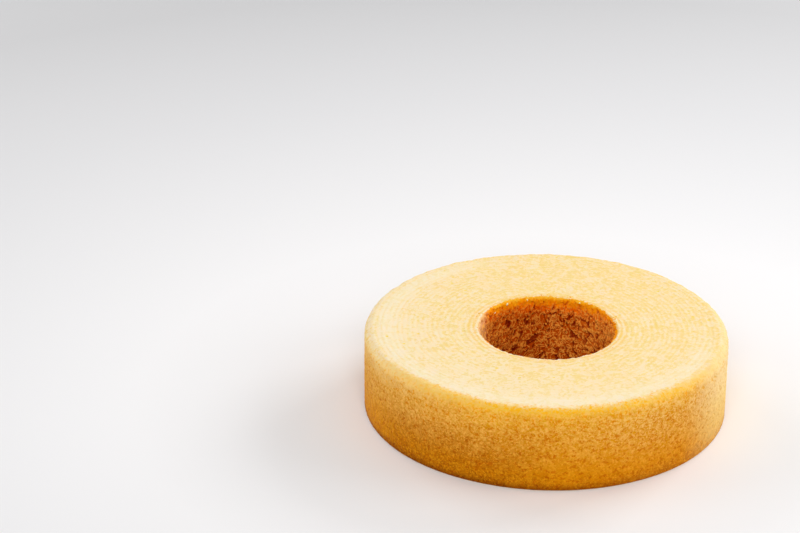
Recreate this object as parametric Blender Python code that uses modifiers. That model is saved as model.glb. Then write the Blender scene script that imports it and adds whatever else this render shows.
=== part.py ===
"""A ring cake, baked in thin layers round a spit and cut across, so that its rings show on top.

It stands on its flat cut underside. Units are metres, +Z is up, and the origin is the
middle of the underside, on the axis of the centre hole.
"""

import math
import random

import bpy

# The whole cake
OUTER_RADIUS = 0.0750
HOLE_RADIUS = 0.0285
HEIGHT = 0.0353

# The thin layers that show as rings on the cut top
LAYER_COUNT = 22
LAYER_UNEVENNESS = 0.16
RING_GROOVE_DEPTH = 0.00030

# Rounded edges: the soft shoulder outside, and the small edges at the underside and the hole
SHOULDER_RADIUS = 0.0038
BOTTOM_EDGE_RADIUS = 0.0015
HOLE_TOP_EDGE_RADIUS = 0.0012
HOLE_BOTTOM_EDGE_RADIUS = 0.0008

# Crags and dips of the baked surface, deepest on the hole's wall, and none on the underside
CRAG_DEPTH = 0.0024
CRAG_SIZE = 0.0095
SWELL_DEPTH = 0.0012
SWELL_SIZE = 0.045
HOLE_WALL_SHARE = 1.0
SIDE_SHARE = 0.50
TOP_SHARE = 0.22
UNDERSIDE_SHARE = 0.0

# How finely the turned shape is divided
AROUND_STEPS = 72
SHOULDER_STEPS = 5
SMALL_EDGE_STEPS = 2
SIDE_ROWS = 6
HOLE_WALL_ROWS = 6
MERGE_DISTANCE = 0.00002

SEED = 22
TOP_CRUMB_COLOUR = (0.96, 0.73, 0.36, 1.0)
CRUMB_ROUGHNESS = 0.62


def clear_scene():
    """Removes every object that the file opened with."""
    for old in list(bpy.data.objects):
        bpy.data.objects.remove(old, do_unlink=True)


def arc_points(centre, radius, start_deg, end_deg, steps):
    """Points along an arc in the profile plane, both ends included."""
    points = []
    for step in range(steps + 1):
        angle = math.radians(start_deg + (end_deg - start_deg) * step / steps)
        x = centre[0] + radius * math.cos(angle)
        z = centre[1] + radius * math.sin(angle)
        points.append((x, z))
    return points


def straight_points(start, end, rows):
    """Points between two ends that the neighbouring arcs already hold, so without the ends."""
    points = []
    for row in range(1, rows):
        share = row / rows
        x = start[0] + (end[0] - start[0]) * share
        z = start[1] + (end[1] - start[1]) * share
        points.append((x, z))
    return points


def layer_radii():
    """Radii where one layer meets the next, from the hole outwards, a little uneven."""
    draw = random.Random(SEED)
    thicknesses = []
    for _ in range(LAYER_COUNT):
        thicknesses.append(1.0 + draw.uniform(-LAYER_UNEVENNESS, LAYER_UNEVENNESS))
    scale = (OUTER_RADIUS - HOLE_RADIUS) / sum(thicknesses)
    radii = [HOLE_RADIUS]
    for thickness in thicknesses:
        radii.append(radii[-1] + thickness * scale)
    return radii


def ring_points():
    """The cut top between its rounded edges: each layer is a low crown between two grooves."""
    first = HOLE_RADIUS + HOLE_TOP_EDGE_RADIUS
    last = OUTER_RADIUS - SHOULDER_RADIUS
    radii = [radius for radius in layer_radii() if first < radius < last]
    points = []
    for inner, outer in zip(radii, radii[1:]):
        points.append((inner, HEIGHT - RING_GROOVE_DEPTH))
        points.append(((inner + outer) / 2, HEIGHT))
    points.append((radii[-1], HEIGHT - RING_GROOVE_DEPTH))
    return points


def profile_with_shares():
    """The closed outline of one cut through the ring, and each point's share of the crags.

    It runs outwards over the top, down the outer side, back under the cake and up the hole.
    """
    bottom_outer = (OUTER_RADIUS - BOTTOM_EDGE_RADIUS, BOTTOM_EDGE_RADIUS)
    bottom_inner = (HOLE_RADIUS + HOLE_BOTTOM_EDGE_RADIUS, HOLE_BOTTOM_EDGE_RADIUS)
    top_inner = (HOLE_RADIUS + HOLE_TOP_EDGE_RADIUS, HEIGHT - HOLE_TOP_EDGE_RADIUS)
    top_outer = (OUTER_RADIUS - SHOULDER_RADIUS, HEIGHT - SHOULDER_RADIUS)
    hole_lip = arc_points(top_inner, HOLE_TOP_EDGE_RADIUS, 180, 90, SMALL_EDGE_STEPS)
    shoulder = arc_points(top_outer, SHOULDER_RADIUS, 90, 0, SHOULDER_STEPS)
    base_edge = arc_points(bottom_outer, BOTTOM_EDGE_RADIUS, 0, -90, SMALL_EDGE_STEPS)
    hole_foot = arc_points(bottom_inner, HOLE_BOTTOM_EDGE_RADIUS, 270, 180, SMALL_EDGE_STEPS)
    side = straight_points(shoulder[-1], base_edge[0], SIDE_ROWS)
    hole_wall = straight_points(hole_foot[-1], hole_lip[0], HOLE_WALL_ROWS)
    stretches = [
        (hole_lip, TOP_SHARE),
        (ring_points(), TOP_SHARE),
        (shoulder, SIDE_SHARE),
        (side, SIDE_SHARE),
        (base_edge, UNDERSIDE_SHARE),
        (hole_foot, UNDERSIDE_SHARE),
        (hole_wall, HOLE_WALL_SHARE),
    ]
    points = []
    shares = []
    for stretch, share in stretches:
        points.extend(stretch)
        shares.extend([share] * len(stretch))
    return points, shares


def add_relief(cake, name, size, depth, group_name):
    """Raises and sinks the surface by soft noise, by each point's share of it."""
    noise = bpy.data.textures.new(name, type="CLOUDS")
    noise.noise_scale = size
    relief = cake.modifiers.new(name, "DISPLACE")
    relief.texture = noise
    relief.texture_coords = "LOCAL"
    relief.strength = depth
    relief.mid_level = 0.5
    relief.vertex_group = group_name


def turned_cake(collection):
    """The whole ring: its profile turned once round the hole's axis, then made uneven."""
    points, shares = profile_with_shares()
    edges = [(i, (i + 1) % len(points)) for i in range(len(points))]
    mesh = bpy.data.meshes.new("cake")
    mesh.from_pydata([(x, 0.0, z) for x, z in points], edges, [])
    cake = bpy.data.objects.new("cake", mesh)
    collection.objects.link(cake)

    crag_share = cake.vertex_groups.new(name="crag_share")
    for index, share in enumerate(shares):
        crag_share.add([index], share, "REPLACE")

    turn = cake.modifiers.new("turn", "SCREW")
    turn.axis = "Z"
    turn.angle = math.tau
    turn.steps = AROUND_STEPS
    turn.render_steps = AROUND_STEPS
    turn.use_merge_vertices = True
    turn.merge_threshold = MERGE_DISTANCE
    turn.use_smooth_shade = True

    add_relief(cake, "swell", SWELL_SIZE, SWELL_DEPTH, crag_share.name)
    add_relief(cake, "crags", CRAG_SIZE, CRAG_DEPTH, crag_share.name)
    return cake


def sponge_material():
    """Soft, matt sponge in the cream yellow of the cut top."""
    material = bpy.data.materials.new("sponge")
    material.use_nodes = True
    shader = material.node_tree.nodes["Principled BSDF"]
    shader.inputs["Base Color"].default_value = TOP_CRUMB_COLOUR
    shader.inputs["Roughness"].default_value = CRUMB_ROUGHNESS
    shader.inputs["Metallic"].default_value = 0.0
    return material


def main():
    """Builds the cake in a collection of its own."""
    clear_scene()
    collection = bpy.data.collections.new("ring_cake")
    bpy.context.scene.collection.children.link(collection)
    cake = turned_cake(collection)
    cake.data.materials.append(sponge_material())


main()
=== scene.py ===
"""The looks of a ring cake of thin baked layers: pale cut crumb, golden side, brown craggy hole.

The cake is three nested rings of layers. Each is an outline swept round the hole's axis by
Geometry Nodes, which also raise its crumb, rings, pits and crags. The same patterns drive the
relief and the colours, so a pit is darker where it is deep: partly its own crumb, partly painted
shade in the hollow. Lengths are metres, +Z is up.
"""

import logging
import math
from collections.abc import Callable
from dataclasses import dataclass, field
from enum import Enum

import bpy
from mathutils import Matrix, Vector


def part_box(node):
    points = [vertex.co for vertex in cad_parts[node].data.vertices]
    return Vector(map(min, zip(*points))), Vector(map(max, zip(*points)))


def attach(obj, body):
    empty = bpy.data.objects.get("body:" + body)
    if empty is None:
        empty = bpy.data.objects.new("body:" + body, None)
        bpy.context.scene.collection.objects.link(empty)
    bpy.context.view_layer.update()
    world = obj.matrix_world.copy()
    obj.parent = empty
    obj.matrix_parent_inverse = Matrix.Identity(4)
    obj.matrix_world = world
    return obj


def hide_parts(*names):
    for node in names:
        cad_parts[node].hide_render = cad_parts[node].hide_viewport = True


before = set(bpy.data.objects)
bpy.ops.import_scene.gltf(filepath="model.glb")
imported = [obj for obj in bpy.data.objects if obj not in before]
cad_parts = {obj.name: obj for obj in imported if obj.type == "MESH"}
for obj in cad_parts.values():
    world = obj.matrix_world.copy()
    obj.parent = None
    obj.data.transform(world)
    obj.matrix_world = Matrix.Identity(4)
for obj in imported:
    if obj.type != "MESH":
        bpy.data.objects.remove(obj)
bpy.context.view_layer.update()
LOG = logging.getLogger("ring_cake")

MM = 0.001
CAKE_NODE = "cake"
BODY = "root"
REST_PLACE = "rest_place"

# The relief stands proud of the smooth shape, so this much room is left for it in the CAD box.
ROOM_BESIDE = 0.35 * MM
ROOM_ABOVE = 0.48 * MM

LOWEST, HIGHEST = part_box(CAKE_NODE)
OUTER_RADIUS = min(-LOWEST.x, HIGHEST.x, -LOWEST.y, HIGHEST.y) - ROOM_BESIDE
TOP = HIGHEST.z - ROOM_ABOVE
HOLE_RADIUS = 28.1 * MM
LAYER_THICKNESS = 2.11 * MM

SHOULDER_RADIUS = 3.8 * MM
BASE_EDGE_RADIUS = 1.0 * MM
LIP_RADIUS = 1.3 * MM
HOLE_FOOT_RADIUS = 0.8 * MM
SEAM_GAP = 0.02 * MM

Colour = tuple[float, float, float, float]
Triple = tuple[float, float, float]
Pair = tuple[float, float]
Span = tuple[float, float]
Band = tuple[float, float, float, float]

UPWARDS: Triple = (0.0, 0.0, 1.0)
LEVEL: Triple = (1.0, 1.0, 0.0)
RIGHT: Triple = (1.0, 0.0, 0.0)
LEFT: Triple = (-1.0, 0.0, 0.0)
WHITE: Colour = (1.0, 1.0, 1.0, 1.0)
RED_PART: Triple = (1.0, 0.0, 0.0)
NOISE_MIDDLE: Triple = (0.5, 0.5, 0.5)
SEED_STEP: Triple = (0.731, 0.413, 0.267)


def srgb(red: int, green: int, blue: int) -> Colour:
    """A screen colour from 0 to 255 as the linear colour that shaders take.

    Args:
        red: The red part.
        green: The green part.
        blue: The blue part.

    Returns:
        Linear red, green, blue and a full alpha.
    """
    parts = []
    for part in (red, green, blue):
        share = part / 255
        parts.append(share / 12.92 if share <= 0.04045 else ((share + 0.055) / 1.055) ** 2.4)
    return (parts[0], parts[1], parts[2], 1.0)


class Field:
    """One output of a node tree. Arithmetic on it adds Math nodes."""

    def __init__(self, graph: "Graph", socket: bpy.types.NodeSocket) -> None:
        """Keeps the tree's builder and the output socket that later nodes link to."""
        self.graph = graph
        self.socket = socket

    def combine(self, operation: str, *values: "Number") -> "Field":
        """Adds the node of one step of arithmetic."""
        return self.graph.math(operation, *values)

    def __add__(self, other: "Number") -> "Field":
        """The sum."""
        return self.combine("ADD", self, other)

    def __sub__(self, other: "Number") -> "Field":
        """The difference."""
        return self.combine("SUBTRACT", self, other)

    def __rsub__(self, other: "Number") -> "Field":
        """The difference, with this field taken away."""
        return self.combine("SUBTRACT", other, self)

    def __mul__(self, other: "Number") -> "Field":
        """The product."""
        return self.combine("MULTIPLY", self, other)

    def __truediv__(self, other: "Number") -> "Field":
        """The quotient."""
        return self.combine("DIVIDE", self, other)

    def __abs__(self) -> "Field":
        """The size without its sign."""
        return self.combine("ABSOLUTE", self)

    __radd__ = __add__
    __rmul__ = __mul__

    def fraction(self) -> "Field":
        """What is left past the last whole number."""
        return self.combine("FRACT", self)

    def between(self, low: float, high: float) -> "Field":
        """A soft step from 0 at low to 1 at high, or down where low is above high.

        Args:
            low: Where the step starts.
            high: Where it is done.

        Returns:
            The step, from 0 to 1.
        """
        ends = (low, high, 0.0, 1.0) if low < high else (high, low, 1.0, 0.0)
        values = {"Value": self, "From Min": ends[0], "From Max": ends[1]}
        values |= {"To Min": ends[2], "To Max": ends[3]}
        settings = {"interpolation_type": "SMOOTHSTEP"}
        return self.graph.field("ShaderNodeMapRange", "Result", settings, values)

    def band(self, start: float, full: float, fading: float, end: float) -> "Field":
        """1 from full to fading, falling softly to 0 at start and at end."""
        return self.between(start, full) * self.between(end, fading)

    def ramp(self, stops: "Stops") -> "Field":
        """Runs through several colours in turn.

        Args:
            stops: Rising positions, in this field's own measure, with their colours.

        Returns:
            The colour.
        """
        first, last = stops[0][0], stops[-1][0]
        share = (self - first) / (last - first)
        node = self.graph.node("ShaderNodeValToRGB", None, {"Fac": share})
        elements = node.color_ramp.elements
        while len(elements) < len(stops):
            elements.new(0.5)
        for element, (position, colour) in zip(elements, stops):
            element.position = (position - first) / (last - first)
            element.color = colour
        return Field(self.graph, node.outputs["Color"])

    def bump(self, distance: float = 1.0) -> "Field":
        """The bumped normal where this field is the surface's height."""
        values = {"Height": self, "Distance": distance}
        return self.graph.field("ShaderNodeBump", "Normal", None, values)


class Place(Field):
    """A field of vectors, such as places where patterns are read. Adds Vector Math nodes."""

    def combine(self, operation: str, *values: "Place | Triple") -> "Place":
        """Adds the node of one step of arithmetic on each of the three parts."""
        return self.graph.vector(operation, *values)

    def measure(self, operation: str, *values: Triple) -> Field:
        """A Vector Math node that gives a number, such as a length."""
        inputs = dict(enumerate((self, *values)))
        return self.graph.field("ShaderNodeVectorMath", "Value", {"operation": operation}, inputs)

    def radius(self) -> Field:
        """The distance from the hole's axis."""
        return (self * LEVEL).measure("LENGTH")

    def height(self) -> Field:
        """The height above the cake's foot."""
        return self.measure("DOT_PRODUCT", UPWARDS)

    def towards(self, side: Triple, reach: float) -> Field:
        """How far a place lies to one side, where 1 is as far as the reach."""
        return self.measure("DOT_PRODUCT", side) / reach

    def moved(self, seed: int) -> "Place":
        """A place far off, where noise is unlike the noise here, or this one for seed 0."""
        return self + tuple(step * seed for step in SEED_STEP) if seed else self

    def cells(self, size: float, seed: int) -> tuple[Field, Field]:
        """Scattered points.

        Args:
            size: The usual distance between two points.
            seed: Picks another scatter.

        Returns:
            The distance to the nearest point, where 1 is size, and that point's own random share.
        """
        values = {"Vector": self.moved(seed), "Scale": 1 / size}
        node = self.graph.node("ShaderNodeTexVoronoi", {"feature": "F1"}, values)
        own = Place(self.graph, node.outputs["Color"]).measure("DOT_PRODUCT", RED_PART)
        return Field(self.graph, node.outputs["Distance"]), own

    def warped(self, size: float, depth: "Number") -> "Place":
        """A place pushed about by soft noise, so that patterns read there come out uneven.

        Args:
            size: The usual width of a push.
            depth: How far it is pushed at most.

        Returns:
            The pushed place.
        """
        values = {"Vector": self, "Scale": 1 / size, "Detail": 1.0}
        push = self.graph.place("ShaderNodeTexNoise", 1, None, values) - NOISE_MIDDLE
        return self + self.graph.scaled(push, depth * 2)


Number = float | Field
Stops = tuple[tuple[float, Colour], ...]


class Graph:
    """Adds nodes to one tree, of a material or of geometry."""

    def __init__(self, tree: bpy.types.NodeTree) -> None:
        """Keeps the tree that takes the nodes."""
        self.tree = tree

    def node(
        self, kind: str, settings: dict | None = None, values: dict | None = None
    ) -> bpy.types.Node:
        """Adds one node.

        Args:
            kind: The node's type.
            settings: Properties of the node, set first.
            values: A number, colour, vector or field for each input, by name or index.

        Returns:
            The node.
        """
        node = self.tree.nodes.new(kind)
        for name, value in (settings or {}).items():
            setattr(node, name, value)
        for key, value in (values or {}).items():
            socket = node.inputs[key]
            if isinstance(value, Field):
                self.tree.links.new(value.socket, socket)
            else:
                socket.default_value = value
        return node

    def field(self, kind: str, output: str | int, *facts: dict | None) -> Field:
        """Adds a node with its settings and values, and gives an output by name or index."""
        return Field(self, self.node(kind, *facts).outputs[output])

    def place(self, kind: str, output: str | int, *facts: dict | None) -> Place:
        """As field, for an output that is a vector."""
        return Place(self, self.node(kind, *facts).outputs[output])

    def math(self, operation: str, *values: Number) -> Field:
        """A Math node on one or more values."""
        return self.field("ShaderNodeMath", 0, {"operation": operation}, dict(enumerate(values)))

    def vector(self, operation: str, *values: Place | Triple) -> Place:
        """A Vector Math node that gives a vector."""
        settings = {"operation": operation}
        return self.place("ShaderNodeVectorMath", "Vector", settings, dict(enumerate(values)))

    def scaled(self, vector: Place | Triple, share: Number) -> Place:
        """A vector made longer or shorter."""
        values = {0: vector, "Scale": share}
        return self.place("ShaderNodeVectorMath", 0, {"operation": "SCALE"}, values)

    def join(self, x: Number, y: Number, z: Number) -> Place:
        """A vector from its three parts."""
        return self.place("ShaderNodeCombineXYZ", 0, None, {"X": x, "Y": y, "Z": z})


class Blend(Enum):
    """How one colour is laid over another."""

    COVER = "MIX"
    TINT = "MULTIPLY"


def mix(
    share: Field, first: Field | Colour, second: Field | Colour, blend: Blend = Blend.COVER
) -> Field:
    """Blends two colours.

    Args:
        share: How much of the second shows.
        first: The colour at 0.
        second: The colour at 1.
        blend: Whether the second covers the first or tints it.

    Returns:
        The blended colour.
    """
    settings = {"data_type": "RGBA", "blend_type": blend.value, "clamp_factor": True}
    return share.graph.field("ShaderNodeMix", 2, settings, {0: share, 6: first, 7: second})


@dataclass(frozen=True)
class Wash:
    """A colour and how strongly it covers what is below it."""

    colour: Colour
    strength: float

    def over(self, base: Field | Colour, share: Field) -> Field:
        """Lays it over a colour where the share is high."""
        return mix(share * self.strength, base, self.colour)


@dataclass(frozen=True)
class Lumps:
    """Soft random lumps of one usual width, with finer ones on them.

    Detail is how many finer lumps lie on each and roughness how strong they are. Distortion draws
    the lumps out, and the seed picks another stretch of the same noise.
    """

    size: float
    detail: float = 1.0
    seed: int = 0
    roughness: float = 0.5
    distortion: float = 0.0

    def at(self, place: Place) -> Field:
        """The lumps' height.

        Args:
            place: Where it is read.

        Returns:
            A number that is usually 0.2 to 0.8, about 0.5 on average.
        """
        values = {"Vector": place.moved(self.seed), "Scale": 1 / self.size, "Detail": self.detail}
        values |= {"Roughness": self.roughness, "Distortion": self.distortion}
        return place.graph.field("ShaderNodeTexNoise", 0, None, values)

    def swing(self, place: Place, depth: Number) -> Field:
        """The lumps' height about zero, where depth is their whole reach from low to high."""
        return (self.at(place) - 0.5) * depth

    def ridges(self, place: Place, sharpness: float) -> Field:
        """1 along winding lines at the lumps' middle height, falling to 0 beside them."""
        return (1 - abs(self.at(place) * 2 - 1) * sharpness).between(0.0, 1.0)


@dataclass(frozen=True)
class Pores:
    """Scattered open pores, some of them faint or left out.

    The radius is a share of the spacing, and the floor is the flat middle's share of the radius.
    Each pore shows by its own random share: not below the span's start, fully past its end.
    """

    spacing: float
    seed: int
    radius: float
    floor: float
    warp_size: float
    shown: Span
    warp_depth: float = 0.5 * MM

    def at(self, place: Place) -> Field:
        """How deep a place lies in a pore.

        Args:
            place: Where it is read.

        Returns:
            1 in the middle of a pore and 0 outside it.
        """
        spot = place.warped(self.warp_size, self.warp_depth)
        distance, own = spot.cells(self.spacing, self.seed)
        return distance.between(self.radius, self.radius * self.floor) * own.between(*self.shown)


@dataclass(frozen=True)
class Zones:
    """Which part of the cake a place belongs to: cut face, baked side or wall of the hole."""

    crust: Span = (-1.6 * MM, 3.0 * MM)
    open_pits: Span = (-2.0 * MM, 4.0 * MM)
    tear: Span = (-0.5 * MM, 1.1 * MM)
    foot: Span = (0.0, 0.6 * MM)
    behind: Triple = (-0.45, 0.89, 0.0)
    drop_starts: Span = (-0.7, 0.8)
    most_drop: float = 3.6 * MM

    def past_rim(self, place: Place) -> Field:
        """How far down past the outer rim a place is, below zero on the cut top."""
        return place.radius() - place.height() + (TOP - OUTER_RADIUS)

    def crust_drop(self, place: Place) -> Field:
        """How much lower the crust starts than at the front, which is most at the back."""
        return place.towards(self.behind, OUTER_RADIUS).between(*self.drop_starts) * self.most_drop

    def open_crust(self, place: Place) -> Field:
        """How far the side's pits are open: closed at the rim, open some millimetres below."""
        return self.past_rim(place).between(*self.open_pits)

    def past_lip(self, place: Place) -> Field:
        """How far down past the hole's lip a place is, below zero on the cut top."""
        return (TOP + HOLE_RADIUS) - place.radius() - place.height()

    def baked(self, place: Place) -> Field:
        """The share of baked side, from 0 to 1."""
        return self.past_rim(place).between(*self.crust) * place.height().between(*self.foot)

    def torn(self, place: Place) -> Field:
        """The share of torn wall, from 0 to 1."""
        return self.past_lip(place).between(*self.tear) * place.height().between(*self.foot)


ZONES = Zones()


@dataclass(frozen=True)
class LayerRings:
    """The rings that the baked layers make on a cut face, a little wavy and uneven."""

    wave: Lumps = Lumps(26 * MM, 0.0, 3)
    wave_depth: float = 1.5 * MM
    unevenness: Lumps = Lumps(5.5 * MM, 0.0, 5)
    unevenness_depth: float = 1.3 * MM
    streak: Lumps = Lumps(1.0, 1.5, 6, 0.6)
    streak_width: float = 0.8 * MM
    streak_length: float = 5.0 * MM
    crown: Span = (0.6, 0.1)

    def off_middle(self, place: Place) -> Field:
        """How far off the middle of its layer a place is.

        Args:
            place: Where it is read.

        Returns:
            0 along the middle of a layer and 1 where two layers meet.
        """
        radius = place.radius()
        along = place.graph.join(radius, 0.0, 0.0)
        wave = self.wave.swing(place, self.wave_depth)
        uneven = self.unevenness.swing(along, self.unevenness_depth)
        count = (radius - HOLE_RADIUS + wave + uneven) / LAYER_THICKNESS
        return abs(count.fraction() * 2 - 1)

    def seams(self, place: Place, width: float) -> Field:
        """1 where two layers meet and 0 within a layer. The width is a share of a layer."""
        return self.off_middle(place).between(1 - width, 1.0)

    def crowns(self, place: Place) -> Field:
        """The pale middle of each layer: 1 along it and 0 where two layers meet."""
        return self.off_middle(place).between(*self.crown)

    def streaks(self, place: Place) -> Field:
        """Short streaks that run round the cake.

        Args:
            place: Where they are read.

        Returns:
            A number that is about 0.5 on average.
        """
        graph = place.graph
        turn = graph.vector("NORMALIZE", place * LEVEL)
        across = graph.join(0.0, 0.0, place.radius() / self.streak_width)
        return self.streak.at(graph.scaled(turn, OUTER_RADIUS / self.streak_length) + across)


@dataclass(frozen=True)
class CutCrumb:
    """The fine even crumb of a cut face, with a few open pores and fine specks everywhere."""

    crumb: Lumps = Lumps(0.9 * MM, 1.5, 7, 0.6, 0.5)
    pores: Pores = Pores(6.2 * MM, 9, 0.125, 0.4, 1.3 * MM, (0.3, 0.6))
    specks: Pores = Pores(2.3 * MM, 29, 0.2, 0.3, 1.0 * MM, (0.3, 0.9))


@dataclass(frozen=True)
class BakedCrumb:
    """The open sponge of the baked side: small pits among wandering walls of crumb."""

    flattening: Triple = (1.0, 1.0, 1.2)
    wall: Lumps = Lumps(1.8 * MM, 1.5, 11, 0.6, 1.2)
    wall_sharpness: float = 4.0
    hollow: Lumps = Lumps(1.5 * MM, 2.0, 13, 0.6, 0.4)
    pit: Span = (0.47, 0.35)
    grain: Lumps = Lumps(0.9 * MM, 1.5, 15, 0.7)

    def walls(self, place: Place) -> Field:
        """Wandering ridges of crumb: 1 along a ridge, falling to 0 between them."""
        return self.wall.ridges(place * self.flattening, self.wall_sharpness)

    def hollows(self, place: Place) -> Field:
        """Where the sponge sinks: low in a pit, high on the crumb about it, 0.5 on average."""
        return self.hollow.at(place * self.flattening)

    def pits(self, place: Place) -> Field:
        """Small pits of uneven size: 1 in the middle of a pit and 0 outside it."""
        return self.hollows(place).between(*self.pit)


@dataclass(frozen=True)
class TornCrumb:
    """The rough wall of the hole, torn as it came off the spit: crags, pits and strands.

    Its patterns lean, which the slant gives in radians for each metre of height.
    """

    flattening: Triple = (1.0, 1.0, 0.8)
    slant: float = 24.0
    upright_at: float = 18 * MM
    crag: Lumps = Lumps(5.0 * MM, 2.0, 17, 0.6, 0.6)
    tear: Lumps = Lumps(2.2 * MM, 1.5, 18, 0.6, 0.6)
    pit: Span = (0.47, 0.36)
    strand: Lumps = Lumps(2.1 * MM, 1.5, 19, 0.6, 1.3)
    strand_sharpness: float = 5.5

    def slanted(self, place: Place) -> Place:
        """A place turned about the hole's axis by its height, and pressed flat.

        Args:
            place: The place.

        Returns:
            Where patterns are read, so that they lean opposite ways left and right in the hole.
        """
        lean = place.towards(LEFT, HOLE_RADIUS)
        angle = (place.height() - self.upright_at) * lean * self.slant
        values = {"Vector": place, "Angle": angle}
        settings = {"rotation_type": "Z_AXIS"}
        turned = place.graph.place("ShaderNodeVectorRotate", 0, settings, values)
        return turned * self.flattening

    def pits(self, place: Place) -> Field:
        """Dark pits: 1 in the middle of a pit and 0 outside it."""
        return self.tear.at(self.slanted(place)).between(*self.pit)

    def strands(self, place: Place) -> Field:
        """Short raised threads of crumb: 1 along a thread, falling to 0 between them."""
        return self.strand.ridges(self.slanted(place), self.strand_sharpness)


@dataclass(frozen=True)
class OutlinePoint:
    """A point of a ring's outline and which way its relief is raised."""

    outline_radius: float
    outline_height: float
    push_out: float
    push_up: float


@dataclass
class Outline:
    """The closed outline of one cut through a ring of layers.

    It runs outwards over the top, down the outer side, back under and up the inner side.
    """

    points: list[OutlinePoint] = field(default_factory=list)

    def run(self, start: Pair, end: Pair, spacing: float, push: Pair = (0.0, 0.0)) -> None:
        """Adds a straight stretch without its last point.

        Args:
            start: Radius and height of its first point.
            end: Radius and height of where it ends.
            spacing: The distance between its points.
            push: Which way relief is raised, outwards and up, or zeros where it stays flat.
        """
        steps = max(1, math.ceil(math.dist(start, end) / spacing))
        for step in range(steps):
            share = step / steps
            radius = start[0] + (end[0] - start[0]) * share
            height = start[1] + (end[1] - start[1]) * share
            self.points.append(OutlinePoint(radius, height, *push))

    def turn(
        self,
        centre: Pair,
        radius: float,
        degrees: Pair,
        spacing: float,
        pushes: Pair = (1.0, 1.0),
    ) -> None:
        """Adds a rounded edge without its last point.

        Args:
            centre: Radius and height of the middle of the rounding.
            radius: The rounding's own radius.
            degrees: The first and last angle, from level and outwards.
            spacing: The distance between its points.
            pushes: How much relief it takes at its first and last angle.
        """
        start, end = (math.radians(angle) for angle in degrees)
        steps = max(2, math.ceil(abs(end - start) * radius / spacing))
        for step in range(steps):
            share = step / steps
            angle = start + (end - start) * share
            out, up = math.cos(angle), math.sin(angle)
            push = pushes[0] + (pushes[1] - pushes[0]) * share
            place = (centre[0] + radius * out, centre[1] + radius * up)
            self.points.append(OutlinePoint(*place, out * push, up * push))

    def mesh(self, name: str) -> bpy.types.Mesh:
        """The outline as a closed line of vertices that carry their sizes as attributes.

        Args:
            name: The mesh's name.

        Returns:
            The mesh.
        """
        mesh = bpy.data.meshes.new(name)
        places = [(point.outline_radius, 0.0, point.outline_height) for point in self.points]
        edges = [(i, (i + 1) % len(places)) for i in range(len(places))]
        mesh.from_pydata(places, edges, [])
        for column in ("outline_radius", "outline_height", "push_out", "push_up"):
            attribute = mesh.attributes.new(column, "FLOAT", "POINT")
            attribute.data.foreach_set("value", [getattr(point, column) for point in self.points])
        return mesh


def new_object(name: str, data: bpy.types.ID) -> bpy.types.Object:
    """Puts a new object in the scene.

    Args:
        name: Its name.
        data: Its mesh, light or camera.

    Returns:
        The object.
    """
    thing = bpy.data.objects.new(name, data)
    bpy.context.scene.collection.objects.link(thing)
    return thing


@dataclass
class NodeRecipe:
    """Geometry Nodes with named inputs, run once on an object to give a plain mesh."""

    name: str
    inputs: dict[str, float | int] = field(default_factory=dict)
    corner_angle: float = math.radians(80)

    def new_tree(self) -> tuple[Graph, Field, dict[str, Field]]:
        """Starts a tree with its named inputs.

        Returns:
            The tree's builder, the mesh that it starts from and its named inputs.
        """
        tree = bpy.data.node_groups.new(self.name, "GeometryNodeTree")
        shape = "NodeSocketGeometry"
        tree.interface.new_socket("Geometry", in_out="INPUT", socket_type=shape)
        for name, value in self.inputs.items():
            kind = "NodeSocketInt" if isinstance(value, int) else "NodeSocketFloat"
            tree.interface.new_socket(name, in_out="INPUT", socket_type=kind)
        tree.interface.new_socket("Geometry", in_out="OUTPUT", socket_type=shape)
        graph = Graph(tree)
        start = graph.node("NodeGroupInput")
        size = {name: Field(graph, start.outputs[name]) for name in self.inputs}
        return graph, Field(graph, start.outputs[0]), size

    def finish(self, geometry: Field, material: bpy.types.Material) -> None:
        """Ends a tree: real mesh, smooth but for its corners, in its material.

        Args:
            geometry: What the tree has made.
            material: What it wears.
        """
        graph = geometry.graph
        real = graph.field("GeometryNodeRealizeInstances", 0, None, {0: geometry})
        smooth = graph.field("GeometryNodeSetShadeSmooth", 0, None, {0: real})
        bend = graph.field("GeometryNodeInputMeshEdgeAngle", 0)
        corner = graph.math("GREATER_THAN", bend, self.corner_angle)
        corner_values = {"Geometry": smooth, "Selection": corner, "Shade Smooth": False}
        sharp = graph.field("GeometryNodeSetShadeSmooth", 0, {"domain": "EDGE"}, corner_values)
        dressed = graph.field("GeometryNodeSetMaterial", 0, None, {0: sharp, "Material": material})
        graph.node("NodeGroupOutput", None, {0: dressed})

    def apply(self, target: bpy.types.Object, tree: bpy.types.NodeTree) -> None:
        """Runs the tree on an object and leaves the plain result as its mesh.

        Args:
            target: The object, whose mesh is what the tree starts from.
            tree: The finished tree.
        """
        modifier = target.modifiers.new(self.name, "NODES")
        modifier.node_group = tree
        for item in tree.interface.items_tree:
            if item.in_out == "INPUT" and item.name in self.inputs:
                modifier[item.identifier] = self.inputs[item.name]
        depsgraph = bpy.context.evaluated_depsgraph_get()
        mesh = bpy.data.meshes.new_from_object(
            target.evaluated_get(depsgraph), preserve_all_data_layers=True, depsgraph=depsgraph
        )
        target.modifiers.remove(modifier)
        target.data = mesh
        mesh.name = target.name


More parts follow.
